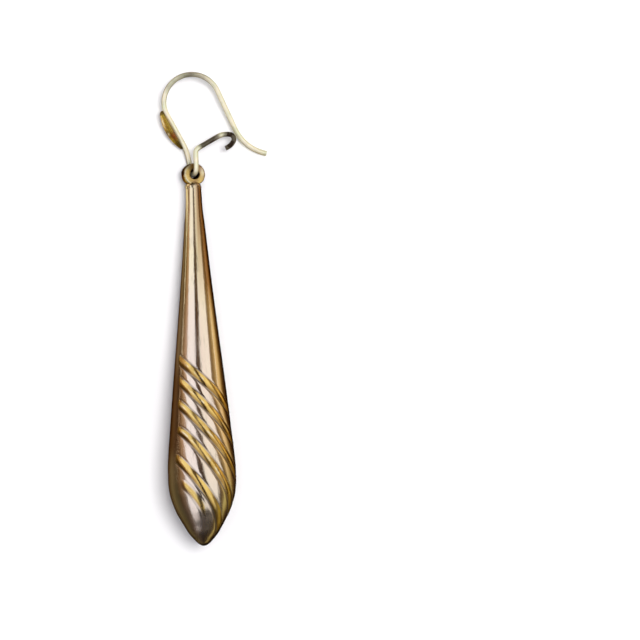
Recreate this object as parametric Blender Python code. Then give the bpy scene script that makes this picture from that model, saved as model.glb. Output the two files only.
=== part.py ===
# Dangle earring: a long torpedo drop with slanting ribs, which hangs by a soldered ring from a bent ear wire.
# It is modelled lying face up on a flat surface, resting on its belly, on the leaf plate and on the wire's tail.
# Metres. X goes across, Y along the drop towards the ear wire, Z up. Turns about the drop are in degrees,
# counted from its top towards +X.

import math
from collections import namedtuple

import bmesh
import bpy
from mathutils import Matrix, Vector

MM = 0.001

# Clearances
LINK_GAP = 0.30 * MM  # free space round the wire inside the ring
FLOOR_GAP = 0.05 * MM  # the bottom bend of the wire stays this far off the surface
CATCH_GAP = 0.60 * MM  # height between the catch and the tail that springs into it

# Ear wire
WIRE_DIAMETER = 0.70 * MM
HOOK_RADIUS = 3.95 * MM  # round top that goes through the ear
LEG_LENGTH = 4.50 * MM  # straight front leg behind the leaf
FOOT_RADIUS = 7.60 * MM
SHOULDER_RADIUS = 3.60 * MM
FALL_LENGTH = 5.80 * MM  # straight back leg
TAIL_RADIUS = 6.20 * MM
CATCH_STEM = 1.80 * MM
CATCH_ARM = 3.10 * MM
CATCH_ELBOW_RADIUS = 0.80 * MM
CATCH_SWEEP_RADIUS = 2.55 * MM
CATCH_HOOK_RADIUS = 0.68 * MM
CATCH_END_RADIUS = 2.10 * MM

# Leaf plate soldered to the front leg
LEAF_LENGTH = 5.90 * MM
LEAF_WIDTH = 2.40 * MM
LEAF_DEPTH = 1.15 * MM
LEAF_FOOT_SHARE = 0.05  # part of a full swell at which its pointed foot starts
LEAF_TOP_SHARE = 0.88  # and at which its blunter top ends
LEAF_SWELL_POWER = 0.8  # below one makes the swell fuller
LEAF_FLANK = 0.62  # height of the flanks halfway out, as a share of the ridge
LEAF_EDGE = 0.14 * MM
LEAF_SOLDER = 0.12 * MM  # how deep the wire sits in the back of the leaf

# Ring on the drop
RING_RADIUS = 1.58 * MM
RING_THICKNESS = 1.40 * MM
RING_SQUARENESS = 2.6  # exponent of its rounded section: 2 is an oval

# Drop
BODY_LENGTH = 51.0 * MM  # top of the neck to the tip
BELLY_RADIUS = 4.78 * MM  # between the ribs
NECK_SOLDER = 0.35 * MM  # how far the neck reaches into the ring
DROP_ROLL = 22.0  # turn about its own axis as it lies
SEAM_TURN = 90.0  # the halves meet at this turn on both sides of the ring's axis
RIB_HEIGHT = 0.14 * MM  # over the plain drop
RIB_UPPER_WIDTH = 0.80 * MM  # gentle flank towards the neck
RIB_LOWER_WIDTH = 0.48 * MM  # steep flank towards the tip
RIB_FADE = 9.0  # degrees over which the end of a rib sinks into the body
PANEL_DEPTH = 0.26 * MM  # the pillowed panels sink this far where they meet their ribs
PANEL_FLATNESS = 2.5

# How fine the faceted solids are
DROP_SIDES = 72
NECK_PLACES = (0.0015, 0.004, 0.008, 0.013, 0.022, 0.040)  # shares of BODY_LENGTH
CONE_ROWS = 8
RIB_ROWS = 44
TIP_ROWS = 8
TIP_CROWDING = 1.8  # brings the rows closer together towards the tip
RING_SIDES = 26
RING_SECTION_SIDES = 12
WIRE_BEVEL_STEPS = 3  # ten sides
BEND_STEP = 13.0  # degrees of bend between two rings of the wire
LEAF_STATIONS = 10
SLANT_STEP = 1.0  # degrees over which a rib's slant is measured
TILT_LIMIT = 20.0  # degrees, well above the tilt at which the drop comes to rest
TILT_HALVINGS = 40
UNDERSIDE_STEPS = 400
SHARP_ANGLE = 40.0

# Outline of the drop: share of BODY_LENGTH from the neck, share of BELLY_RADIUS
OUTLINE = (
    (0.000, 0.000),
    (0.002, 0.110),
    (0.006, 0.190),
    (0.013, 0.226),
    (0.022, 0.232),
    (0.044, 0.238),
    (0.066, 0.250),
    (0.110, 0.297),
    (0.241, 0.424),
    (0.416, 0.612),
    (0.504, 0.712),
    (0.592, 0.808),
    (0.679, 0.898),
    (0.745, 0.967),
    (0.789, 0.997),
    (0.822, 0.997),
    (0.855, 0.962),
    (0.877, 0.898),
    (0.899, 0.810),
    (0.921, 0.692),
    (0.943, 0.564),
    (0.965, 0.430),
    (0.984, 0.262),
    (0.996, 0.120),
    (1.000, 0.000),
)

# Ribs of one stamped half. Turns are counted from the half's first seam, start and end are shares of
# BODY_LENGTH, eases are the rib's slant at each end against its mean slant, and height is a share of RIB_HEIGHT.
Rib = namedtuple("Rib", "from_turn to_turn start end ease_in ease_out height")
RIBS = (
    Rib(11, 158, 0.486, 0.643, 0.63, 1.10, 1.0),
    Rib(18, 158, 0.546, 0.730, 0.63, 1.07, 1.0),
    Rib(18, 158, 0.609, 0.824, 0.49, 1.09, 1.0),
    Rib(20, 158, 0.682, 0.918, 0.23, 0.85, 1.0),
    Rib(18, 138, 0.758, 0.954, 0.43, 0.45, 0.9),
    Rib(30, 103, 0.828, 0.962, 0.30, 0.58, 0.6),
)
RIB_ZONE = (0.455, 0.965)  # shares of BODY_LENGTH between which the ribs lie

# Sizes that follow from the ones above
WIRE_RADIUS = WIRE_DIAMETER / 2
HOLE_RADIUS = WIRE_RADIUS + LINK_GAP
LIMB_RADIUS = (RING_RADIUS + HOLE_RADIUS) / 2  # centre of the ring's section
LIMB_WIDTH = RING_RADIUS - HOLE_RADIUS
LINK_REACH = RING_THICKNESS / 2 + LINK_GAP + WIRE_RADIUS  # wire's centre in front of and behind the ring
NECK_PLACE = RING_RADIUS - NECK_SOLDER  # top of the neck below the ring's centre

# The wire from the ring upwards: straight run, then radius and turn of the bend, left turns counting up
HOOK_BENDS = (
    (0.0, FOOT_RADIUS, 27.1),
    (LEG_LENGTH, SHOULDER_RADIUS, -25.4),
    (0.0, HOOK_RADIUS, -158.8),
    (FALL_LENGTH, TAIL_RADIUS, 54.4),
)
CATCH_BENDS = (
    (CATCH_STEM, CATCH_ELBOW_RADIUS, -61.3),
    (CATCH_ARM, CATCH_SWEEP_RADIUS, -40.1),
    (0.0, CATCH_HOOK_RADIUS, -110.8),
    (0.0, CATCH_END_RADIUS, -39.8),
)


def clear_scene():
    for thing in list(bpy.data.objects):
        bpy.data.objects.remove(thing, do_unlink=True)


def smooth_step(share):
    """Eases from 0 to 1 as the share does, flat at both ends."""
    share = min(1.0, max(0.0, share))
    return share * share * (3 - 2 * share)


def metal(name, colour, roughness):
    material = bpy.data.materials.new(name)
    material.use_nodes = True
    shader = material.node_tree.nodes["Principled BSDF"]
    shader.inputs["Base Color"].default_value = (*colour, 1.0)
    shader.inputs["Metallic"].default_value = 1.0
    shader.inputs["Roughness"].default_value = roughness
    return material


def add_object(name, mesh, material):
    mesh.materials.clear()
    mesh.materials.append(material)
    mesh.shade_smooth()
    mesh.set_sharp_from_angle(angle=math.radians(SHARP_ANGLE))
    thing = bpy.data.objects.new(name, mesh)
    bpy.context.collection.objects.link(thing)
    return thing


def as_helper(thing):
    thing.hide_render = True
    thing.display_type = "WIRE"


def join_solid(base, helper):
    union = base.modifiers.new("solder_" + helper.name, "BOOLEAN")
    union.operation = "UNION"
    union.solver = "EXACT"
    union.object = helper
    as_helper(helper)


def rings_to_mesh(name, rings, closed_loop=False):
    """Skin a list of rings of points, capping both ends unless the last ring meets the first."""
    bm = bmesh.new()
    loops = [[bm.verts.new(point) for point in ring] for ring in rings]
    sides = len(loops[0])
    pairs = list(zip(loops, loops[1:]))
    if closed_loop:
        pairs.append((loops[-1], loops[0]))
    for near, far in pairs:
        for i in range(sides):
            j = (i + 1) % sides
            bm.faces.new((near[i], near[j], far[j], far[i]))
    if not closed_loop:
        bm.faces.new(list(reversed(loops[0])))
        bm.faces.new(loops[-1])
    bmesh.ops.recalc_face_normals(bm, faces=bm.faces)
    mesh = bpy.data.meshes.new(name)
    bm.to_mesh(mesh)
    bm.free()
    return mesh


# Drop


def hermite(share, start, end, slope_in, slope_out):
    """Point of a smooth curve between two values, with its slopes at both ends."""
    square, cube = share**2, share**3
    return (
        start * (2 * cube - 3 * square + 1)
        + end * (3 * square - 2 * cube)
        + slope_in * (cube - 2 * square + share)
        + slope_out * (cube - square)
    )


def outline_slopes():
    """Slope of the outline at each of its points, which never overshoots them."""
    runs = [(far[1] - near[1]) / (far[0] - near[0]) for near, far in zip(OUTLINE, OUTLINE[1:])]
    slopes = [2 * runs[0]]
    for left, right in zip(runs, runs[1:]):
        slopes.append(2 * left * right / (left + right) if left * right > 0 else 0.0)
    return slopes + [2 * runs[-1]]


def outline_radius(place):
    """Radius of the plain drop at a share of its length."""
    slopes = outline_slopes()
    i = 0
    while i < len(OUTLINE) - 2 and OUTLINE[i + 1][0] < place:
        i += 1
    (near, near_radius), (far, far_radius) = OUTLINE[i], OUTLINE[i + 1]
    span = far - near
    share = (place - near) / span
    return BELLY_RADIUS * hermite(share, near_radius, far_radius, slopes[i] * span, slopes[i + 1] * span)


def rib_crest(rib, share):
    """Place of a rib's crest at a share of the rib's turn."""
    run = rib.end - rib.start
    return hermite(share, rib.start, rib.end, rib.ease_in * run, rib.ease_out * run)


def relief(turn, place, radius):
    """Height over the plain drop: its ribs stand up, and its panels sink towards the ribs beside them."""
    half_turn = (turn + SEAM_TURN) % 180.0
    shown_ribs = []
    for rib in RIBS:
        span = rib.to_turn - rib.from_turn
        share = (half_turn - rib.from_turn) / span
        if 0.0 < share < 1.0:
            shown = smooth_step(min(share, 1.0 - share) * span / RIB_FADE)
            shown_ribs.append((rib, share, rib_crest(rib, share), shown))
    panel = 0.0
    for (_, _, upper, upper_shown), (_, _, lower, lower_shown) in zip(shown_ribs, shown_ribs[1:]):
        if upper < place < lower:
            from_middle = abs(2 * (place - upper) / (lower - upper) - 1)
            panel = -PANEL_DEPTH * from_middle**PANEL_FLATNESS * min(upper_shown, lower_shown)
    height = panel
    for rib, share, crest, shown in shown_ribs:
        step = SLANT_STEP / (rib.to_turn - rib.from_turn)
        rise = (rib_crest(rib, share + step) - crest) * BODY_LENGTH
        across = radius * math.radians(SLANT_STEP)
        offset = (place - crest) * BODY_LENGTH * across / math.hypot(across, rise)
        width = RIB_LOWER_WIDTH if offset > 0 else RIB_UPPER_WIDTH
        if abs(offset) < width:
            bulge = 0.5 + 0.5 * math.cos(math.pi * offset / width)
            top = RIB_HEIGHT * rib.height * shown
            height = max(height, panel + (top - panel) * bulge)
    return height


def drop_places():
    """Shares of the length where the drop's rings lie: few on the neck, close on the ribs."""
    start, end = RIB_ZONE
    neck = NECK_PLACES[-1]
    cone = [neck + (start - neck) * i / (CONE_ROWS + 1) for i in range(1, CONE_ROWS + 1)]
    ribbed = [start + (end - start) * i / RIB_ROWS for i in range(RIB_ROWS)]
    tip = [1.0 - (1.0 - end) * (1.0 - i / TIP_ROWS) ** TIP_CROWDING for i in range(TIP_ROWS)]
    return [*NECK_PLACES, *cone, *ribbed, *tip]


def drop_mesh():
    bm = bmesh.new()
    rings = []
    for place in drop_places():
        radius = outline_radius(place)
        along = -(NECK_PLACE + place * BODY_LENGTH)
        ring = []
        for i in range(DROP_SIDES):
            turn = 360.0 * i / DROP_SIDES
            reach = radius + relief(turn, place, radius)
            angle = math.radians(turn)
            ring.append(bm.verts.new((reach * math.sin(angle), along, reach * math.cos(angle))))
        rings.append(ring)
    top = bm.verts.new((0, -NECK_PLACE, 0))
    tip = bm.verts.new((0, -(NECK_PLACE + BODY_LENGTH), 0))
    for near, far in zip(rings, rings[1:]):
        for i in range(DROP_SIDES):
            j = (i + 1) % DROP_SIDES
            bm.faces.new((near[i], near[j], far[j], far[i]))
    for i in range(DROP_SIDES):
        j = (i + 1) % DROP_SIDES
        bm.faces.new((top, rings[0][j], rings[0][i]))
        bm.faces.new((tip, rings[-1][i], rings[-1][j]))
    bmesh.ops.recalc_face_normals(bm, faces=bm.faces)
    mesh = bpy.data.meshes.new("drop")
    bm.to_mesh(mesh)
    bm.free()
    return mesh


def ring_mesh():
    """Thick ring whose hole runs along its own Z, with a rounded section."""
    power = 2 / RING_SQUARENESS
    rings = []
    for i in range(RING_SIDES):
        around = 2 * math.pi * (i + 0.5) / RING_SIDES
        ring = []
        for j in range(RING_SECTION_SIDES):
            angle = 2 * math.pi * (j + 0.5) / RING_SECTION_SIDES
            across = math.copysign(abs(math.cos(angle)) ** power, math.cos(angle)) * LIMB_WIDTH / 2
            height = math.copysign(abs(math.sin(angle)) ** power, math.sin(angle)) * RING_THICKNESS / 2
            reach = LIMB_RADIUS + across
            ring.append((reach * math.cos(around), reach * math.sin(around), height))
        rings.append(ring)
    return rings_to_mesh("ring", rings, closed_loop=True)


# How it lies


def rest_tilt(ring_height):
    """Angle that lifts the drop's axis so that its belly just meets the surface."""
    low, high = 0.0, math.radians(TILT_LIMIT)
    underside = []
    for i in range(UNDERSIDE_STEPS + 1):
        place = i / UNDERSIDE_STEPS
        radius = outline_radius(place)
        underside.append((place, radius + relief(180 - DROP_ROLL, place, radius)))
    for _ in range(TILT_HALVINGS):
        tilt = (low + high) / 2
        gap = min(
            ring_height
            + (NECK_PLACE + place * BODY_LENGTH) * math.sin(tilt)
            - reach * math.cos(tilt)
            for place, reach in underside
        )
        if gap > 0:
            high = tilt
        else:
            low = tilt
    return high


def rest_pose():
    """Ring height and tilt at which the belly and the wire's bottom bend both clear the surface."""
    roll = math.radians(DROP_ROLL)
    tilt = 0.0
    for _ in range(6):
        drop_of_link = LIMB_RADIUS * math.sin(tilt) + LINK_REACH * math.cos(roll) * math.cos(tilt)
        height = WIRE_RADIUS + FLOOR_GAP + drop_of_link
        tilt = rest_tilt(height)
    return height, tilt


def drop_matrix():
    height, tilt = rest_pose()
    turned = Matrix.Rotation(-tilt, 4, "X") @ Matrix.Rotation(math.radians(DROP_ROLL), 4, "Y")
    return Matrix.Translation((0, 0, height)) @ turned


# Ear wire


def bend_path(start, heading, bends):
    """Points of a flat wire bent from straight runs and arcs, as (x, y, length so far)."""
    x, y, run = start[0], start[1], 0.0
    angle = math.radians(heading)
    points = [(x, y, run)]
    for straight, radius, turn in bends:
        if straight:
            x += math.cos(angle) * straight
            y += math.sin(angle) * straight
            run += straight
            points.append((x, y, run))
        steps = max(2, round(abs(turn) / BEND_STEP))
        step = math.radians(turn) / steps
        chord = 2 * radius * math.sin(abs(step) / 2)
        for _ in range(steps):
            angle += step / 2
            x += math.cos(angle) * chord
            y += math.sin(angle) * chord
            angle += step / 2
            run += abs(step) * radius
            points.append((x, y, run))
    return points


def link_points(pose):
    """The wire's bottom bend: from behind the ring through its hole to the front, round the upper limb."""
    power = 2 / RING_SQUARENESS
    steps = round(180 / BEND_STEP)
    points = []
    for i in range(steps + 1):
        angle = math.pi * i / steps
        inwards = math.sin(angle) ** power if 0 < i < steps else 0.0
        forwards = -math.copysign(abs(math.cos(angle)) ** power, math.cos(angle))
        points.append(pose @ Vector((0, LIMB_RADIUS * (1 - inwards), LINK_REACH * forwards)))
    return points


def leg_frame(foot):
    """Middle of the straight front leg, its direction and its outer side, seen from above."""
    angle = math.radians(90 + HOOK_BENDS[0][2])
    along = Vector((math.cos(angle), math.sin(angle), 0))
    outer = Vector((-along.y, along.x, 0))
    last = bend_path(foot, 90, HOOK_BENDS[:1])[-1]
    middle = Vector((last[0], last[1], 0)) + along * LEG_LENGTH / 2
    return middle, along, outer


def hook_plane(foot, tail):
    """Slopes of the tilted plane in which the hook lies: on its tail, on the leaf and at the bottom bend."""
    middle, _, outer = leg_frame(foot)
    leaf = middle + outer * (WIRE_RADIUS - LEAF_SOLDER)
    dx1, dy1, dz1 = leaf.x - foot.x, leaf.y - foot.y, LEAF_WIDTH / 2 - foot.z
    dx2, dy2, dz2 = tail[0] - foot.x, tail[1] - foot.y, WIRE_RADIUS - foot.z
    area = dx1 * dy2 - dx2 * dy1
    return (dz1 * dy2 - dz2 * dy1) / area, (dx1 * dz2 - dx2 * dz1) / area


def hook_points(foot):
    path = bend_path(foot, 90, HOOK_BENDS)
    slope_x, slope_y = hook_plane(foot, path[-1])
    return [Vector((x, y, foot.z + slope_x * (x - foot.x) + slope_y * (y - foot.y))) for x, y, _ in path]


def catch_points(head, hook):
    """The springy arm from the front of the ring to the small hook that catches the tail."""
    path = bend_path(head, 90, CATCH_BENDS)
    end = path[-1]
    nearest = min(hook, key=lambda p: math.hypot(p.x - end[0], p.y - end[1]))
    height = nearest.z + 2 * WIRE_RADIUS + CATCH_GAP
    return [Vector((x, y, head.z + (height - head.z) * smooth_step(run / end[2]))) for x, y, run in path]


def wire_mesh(points):
    curve = bpy.data.curves.new("ear_wire_path", "CURVE")
    curve.dimensions = "3D"
    curve.bevel_depth = WIRE_RADIUS
    curve.bevel_resolution = WIRE_BEVEL_STEPS
    curve.use_fill_caps = True
    spline = curve.splines.new("POLY")
    spline.points.add(len(points) - 1)
    for knot, point in zip(spline.points, points):
        knot.co = (*point, 1.0)
    path = bpy.data.objects.new("ear_wire_path", curve)
    bpy.context.collection.objects.link(path)
    bpy.context.view_layer.update()
    evaluated = path.evaluated_get(bpy.context.evaluated_depsgraph_get())
    mesh = bpy.data.meshes.new_from_object(evaluated)
    bpy.data.objects.remove(path)
    bm = bmesh.new()
    bm.from_mesh(mesh)
    bmesh.ops.remove_doubles(bm, verts=bm.verts, dist=WIRE_RADIUS / 100)
    bmesh.ops.recalc_face_normals(bm, faces=bm.faces)
    bm.to_mesh(mesh)
    bm.free()
    return mesh


def leaf_mesh(middle, along, outer):
    """A pointed leaf with a raised centre ridge, its flat back against the wire."""
    up = along.cross(outer) * -1
    if up.z < 0:
        up.negate()
    back = WIRE_RADIUS - LEAF_SOLDER
    rings = []
    for i in range(LEAF_STATIONS + 1):
        share = i / LEAF_STATIONS
        phase = LEAF_FOOT_SHARE + share * (LEAF_TOP_SHARE - LEAF_FOOT_SHARE)
        swell = math.sin(math.pi * phase) ** LEAF_SWELL_POWER
        centre = middle + along * (share - 0.5) * LEAF_LENGTH
        half = LEAF_WIDTH / 2 * swell
        edge = back + LEAF_EDGE
        ridge = back + LEAF_EDGE + (LEAF_DEPTH - LEAF_EDGE) * swell
        flank = edge + (ridge - edge) * LEAF_FLANK
        lower = ((back, -half), (edge, -half), (flank, -half / 2))
        upper = ((flank, half / 2), (edge, half), (back, half))
        section = (*lower, (ridge, 0), *upper)
        rings.append([centre + outer * reach + up * height for reach, height in section])
    return rings_to_mesh("leaf", rings)


def build():
    clear_scene()
    pose = drop_matrix()
    link = link_points(pose)
    foot, head = link[0], link[-1]
    hook = hook_points(foot)
    catch = catch_points(head, hook)

    drop = add_object("drop", drop_mesh(), metal("rose_gold", (0.78, 0.52, 0.33), 0.16))
    ring = add_object("ring", ring_mesh(), metal("ring_gold", (0.80, 0.58, 0.28), 0.2))
    for thing in (drop, ring):
        thing.matrix_world = pose
    join_solid(drop, ring)

    path = [*reversed(hook), *link[1:-1], *catch]
    wire = add_object("ear_wire", wire_mesh(path), metal("pale_gold", (0.80, 0.74, 0.50), 0.18))
    middle, along, outer = leg_frame(foot)
    slope_x, slope_y = hook_plane(foot, hook[-1])
    middle.z = foot.z + slope_x * (middle.x - foot.x) + slope_y * (middle.y - foot.y)
    along.z = slope_x * along.x + slope_y * along.y
    outer.z = slope_x * outer.x + slope_y * outer.y
    plate = leaf_mesh(middle, along.normalized(), outer.normalized())
    leaf = add_object("leaf", plate, metal("leaf_gold", (0.75, 0.50, 0.18), 0.2))
    join_solid(wire, leaf)

    bpy.context.view_layer.update()
    corners = [thing.matrix_world @ v.co for thing in (drop, ring, wire, leaf) for v in thing.data.vertices]
    low = Vector([min(c[k] for c in corners) for k in range(3)])
    high = Vector([max(c[k] for c in corners) for k in range(3)])
    rest = bpy.data.objects.new("rest", None)
    bpy.context.collection.objects.link(rest)
    for thing in (drop, ring, wire, leaf):
        thing.parent = rest
    rest.location = (-(low.x + high.x) / 2, -(low.y + high.y) / 2, -low.z)


build()
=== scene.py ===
import math

import bmesh
import bpy
from mathutils import Matrix, Vector


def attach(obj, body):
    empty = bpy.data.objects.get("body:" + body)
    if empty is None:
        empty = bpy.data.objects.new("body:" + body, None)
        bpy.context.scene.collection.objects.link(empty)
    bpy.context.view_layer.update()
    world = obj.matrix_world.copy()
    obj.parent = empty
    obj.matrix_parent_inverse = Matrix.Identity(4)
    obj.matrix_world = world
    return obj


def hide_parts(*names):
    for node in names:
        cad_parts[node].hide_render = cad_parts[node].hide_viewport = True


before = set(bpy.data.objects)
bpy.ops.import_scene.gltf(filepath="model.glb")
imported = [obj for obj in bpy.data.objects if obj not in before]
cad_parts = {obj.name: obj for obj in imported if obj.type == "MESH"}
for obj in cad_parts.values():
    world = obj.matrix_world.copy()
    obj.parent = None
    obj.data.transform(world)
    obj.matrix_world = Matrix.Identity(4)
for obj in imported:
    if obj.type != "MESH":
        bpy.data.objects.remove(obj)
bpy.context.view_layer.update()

mm = 0.001
weldGap = 0.002 * mm  # vertices nearer than this become one

# How the earring lies: centre of the ring, rise of the drop's axis, and turn of the drop about that axis
lie = {"ringCentre": (-2.8677, 18.8211, 1.7418), "tilt": 4.4064, "roll": 22.0}
dropPose = (
    Matrix.Translation(Vector(lie["ringCentre"]) * mm)
    @ Matrix.Rotation(-math.radians(lie["tilt"]), 4, "X")
    @ Matrix.Rotation(math.radians(lie["roll"]), 4, "Y")
)


# Shared steps

def deselectAll():
    if bpy.context.mode != "OBJECT":
        bpy.ops.object.mode_set(mode="OBJECT")
    bpy.ops.object.select_all(action="DESELECT")


def pick(piece):
    deselectAll()
    piece.select_set(True)
    bpy.context.view_layer.objects.active = piece


def startPiece(name):
    piece = bpy.context.object
    piece.name = piece.data.name = name
    return piece


def editMesh(piece):
    pick(piece)
    bpy.ops.object.mode_set(mode="EDIT")
    return bmesh.from_edit_mesh(piece.data)


def editAll(piece):
    editMesh(piece)
    bpy.ops.mesh.select_all(action="SELECT")


def addModifier(piece, kind, **settings):
    modifier = piece.modifiers.new(kind.lower(), kind)
    for key, value in settings.items():
        setattr(modifier, key, value)
    pick(piece)
    bpy.ops.object.modifier_apply(modifier=modifier.name)


def addDents(piece, name, size, height):
    clouds = bpy.data.textures.new(name, "CLOUDS")
    clouds.noise_scale = size * mm
    settings = {"texture": clouds, "texture_coords": "LOCAL", "strength": height * mm, "mid_level": 0.5}
    addModifier(piece, "DISPLACE", **settings)


def paintPoints(piece, **values):
    # numbers at the vertices, which a material reads: one for each vertex, or one for all
    for name, numbers in values.items():
        if isinstance(numbers, float):
            numbers = [numbers] * len(piece.data.vertices)
        layer = piece.data.attributes.new(name, "FLOAT", "POINT")
        layer.data.foreach_set("value", numbers)


def smoothStep(share):
    share = min(1.0, max(0.0, share))
    return share * share * (3 - 2 * share)


def ramp(value, start, width):
    # 0 up to the start, then up to 1 over the width; a negative width runs the other way
    return smoothStep((value - start) / width)


def bell(value, centre, width):
    return math.exp(-(((value - centre) / width) ** 2))


def hermite(share, start, end, slopeIn, slopeOut):
    square, cube = share**2, share**3
    return (
        start * (2 * cube - 3 * square + 1) + end * (3 * square - 2 * cube)
        + slopeIn * (cube - 2 * square + share) + slopeOut * (cube - square)
    )


def vertexPath(name, points):
    # one vertex, extruded from point to point
    deselectAll()
    bpy.ops.mesh.primitive_plane_add(size=mm, location=(0, 0, 0))
    path = startPiece(name)
    editAll(path)
    bpy.ops.mesh.merge(type="CENTER")
    bpy.ops.transform.translate(value=points[0])
    for near, far in zip(points, points[1:]):
        bpy.ops.mesh.extrude_region_move(TRANSFORM_OT_translate={"value": Vector(far) - Vector(near)})
    bpy.ops.object.mode_set(mode="OBJECT")
    return path


def finishPiece(piece, material, smoothAngle=40):
    pick(piece)
    bpy.ops.object.transform_apply(location=True, rotation=True, scale=True)
    editAll(piece)
    bpy.ops.mesh.normals_make_consistent(inside=False)
    bpy.ops.object.mode_set(mode="OBJECT")
    bpy.ops.object.shade_smooth_by_angle(angle=math.radians(smoothAngle))
    piece.data.materials.clear()
    piece.data.materials.append(material)
    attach(piece, "root")
    print("made", piece.name, len(piece.data.polygons), "faces")


# Camera, straight above the picture's middle

cameraSetup = {
    "pixels": 640, "pixel": 0.14, "ringPixel": (192.4, 173.8), "roll": 1.82,
    "distance": 600.0, "focus": 5.0, "sensor": 36.0, "clip": (0.01, 10.0),
}


def addCamera(setup):
    half = setup["pixels"] / 2
    right = (half - setup["ringPixel"][0]) * setup["pixel"]
    down = (half - setup["ringPixel"][1]) * setup["pixel"]
    offset = Matrix.Rotation(-math.radians(setup["roll"]), 3, "Z") @ Vector((right, -down, 0))
    deselectAll()
    bpy.ops.object.camera_add(rotation=(0, 0, -math.radians(setup["roll"])))
    camera = bpy.context.object
    centre = Vector(lie["ringCentre"]) + offset
    camera.location = Vector((centre.x, centre.y, setup["focus"] + setup["distance"])) * mm
    camera.data.sensor_width = setup["sensor"]
    camera.data.lens = setup["sensor"] * setup["distance"] / (setup["pixels"] * setup["pixel"])
    camera.data.clip_start, camera.data.clip_end = setup["clip"]
    bpy.context.scene.camera = camera


addCamera(cameraSetup)


# Materials

def newMaterial(name):
    material = bpy.data.materials.new(name)
    material.use_nodes = True
    nodes = material.node_tree.nodes
    return material, nodes, material.node_tree.links, nodes["Principled BSDF"]


def mixColours(nodes, links, factor, first, second, blend="MIX"):
    mix = nodes.new("ShaderNodeMix")
    mix.data_type = "RGBA"
    mix.blend_type = blend
    sockets = (mix.inputs[0], factor), (mix.inputs[6], first), (mix.inputs[7], second)
    for socket, value in sockets:
        if isinstance(value, (int, float)):
            socket.default_value = value
        elif isinstance(value, tuple):
            socket.default_value = (*value, 1.0)
        else:
            links.new(value, socket)
    return mix.outputs[2]


def maths(nodes, links, operation, *values, clamp=False):
    node = nodes.new("ShaderNodeMath")
    node.operation = operation
    node.use_clamp = clamp
    for socket, value in zip(node.inputs, values):
        if isinstance(value, (int, float)):
            socket.default_value = value
        else:
            links.new(value, socket)
    return node.outputs[0]


def times(nodes, links, first, second):
    return maths(nodes, links, "MULTIPLY", first, second)


def noiseAt(nodes, links, scale, stretch=(1, 1, 1), detail=4.0, roughness=0.5):
    # scale is in features per metre
    place = nodes.new("ShaderNodeTexCoord")
    mapping = nodes.new("ShaderNodeMapping")
    mapping.inputs["Scale"].default_value = stretch
    texture = nodes.new("ShaderNodeTexNoise")
    texture.inputs["Scale"].default_value = scale
    texture.inputs["Detail"].default_value = detail
    texture.inputs["Roughness"].default_value = roughness
    links.new(place.outputs["Object"], mapping.inputs["Vector"])
    links.new(mapping.outputs["Vector"], texture.inputs["Vector"])
    return texture.outputs["Fac"]


def spread(nodes, links, value, low, high, newLow=0.0, newHigh=1.0):
    node = nodes.new("ShaderNodeMapRange")
    node.clamp = True
    node.inputs["From Min"].default_value = low
    node.inputs["From Max"].default_value = high
    node.inputs["To Min"].default_value = newLow
    node.inputs["To Max"].default_value = newHigh
    links.new(value, node.inputs["Value"])
    return node.outputs["Result"]


def fadeOver(nodes, links, value, stretch, newHigh=1.0, newLow=0.0):
    # the same for a place, over a stretch given in millimetres
    return spread(nodes, links, value, stretch[0] * mm, stretch[1] * mm, newLow, newHigh)


def cloudy(nodes, links, scale, band, levels=(0.0, 1.0), stretch=(1, 1, 1), detail=4.0, roughness=0.5):
    # noise, spread from its band to the levels
    return spread(nodes, links, noiseAt(nodes, links, scale, stretch, detail, roughness), *band, *levels)


def colourRamp(nodes, links, value, low, high, stops):
    # colours at places between low and high
    ramp = nodes.new("ShaderNodeValToRGB")
    links.new(spread(nodes, links, value, low, high), ramp.inputs["Fac"])
    elements = ramp.color_ramp.elements
    while len(elements) > 1:
        elements.remove(elements[-1])
    for i, (place, colour) in enumerate(stops):
        position = (place - low) / (high - low)
        element = elements[0] if i == 0 else elements.new(position)
        element.position = position
        element.color = (*colour, 1)
    return ramp.outputs["Color"]


def objectPlace(nodes, links):
    place = nodes.new("ShaderNodeTexCoord")
    split = nodes.new("ShaderNodeSeparateXYZ")
    links.new(place.outputs["Object"], split.inputs["Vector"])
    across = maths(nodes, links, "SUBTRACT", split.outputs["X"], lie["ringCentre"][0] * mm)
    return across, split.outputs["Y"]


def attribute(nodes, name):
    node = nodes.new("ShaderNodeAttribute")
    node.attribute_name = name
    return node.outputs["Fac"]


def finishGold(nodes, links, shader, look, colour, rough, dents):
    links.new(colour, shader.inputs["Base Color"])
    links.new(rough, shader.inputs["Roughness"])
    shader.inputs["Metallic"].default_value = look["metal"]
    shader.inputs["Specular Tint"].default_value = (*look["edge"], 1.0)
    bump = nodes.new("ShaderNodeBump")
    bump.inputs["Distance"].default_value = look["bump"] * mm
    links.new(dents, bump.inputs["Height"])
    links.new(bump.outputs["Normal"], shader.inputs["Normal"])


# Reaches are in millimetres, along or across the drop.
# A noise has features per metre, and the band of it that is used.

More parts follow.
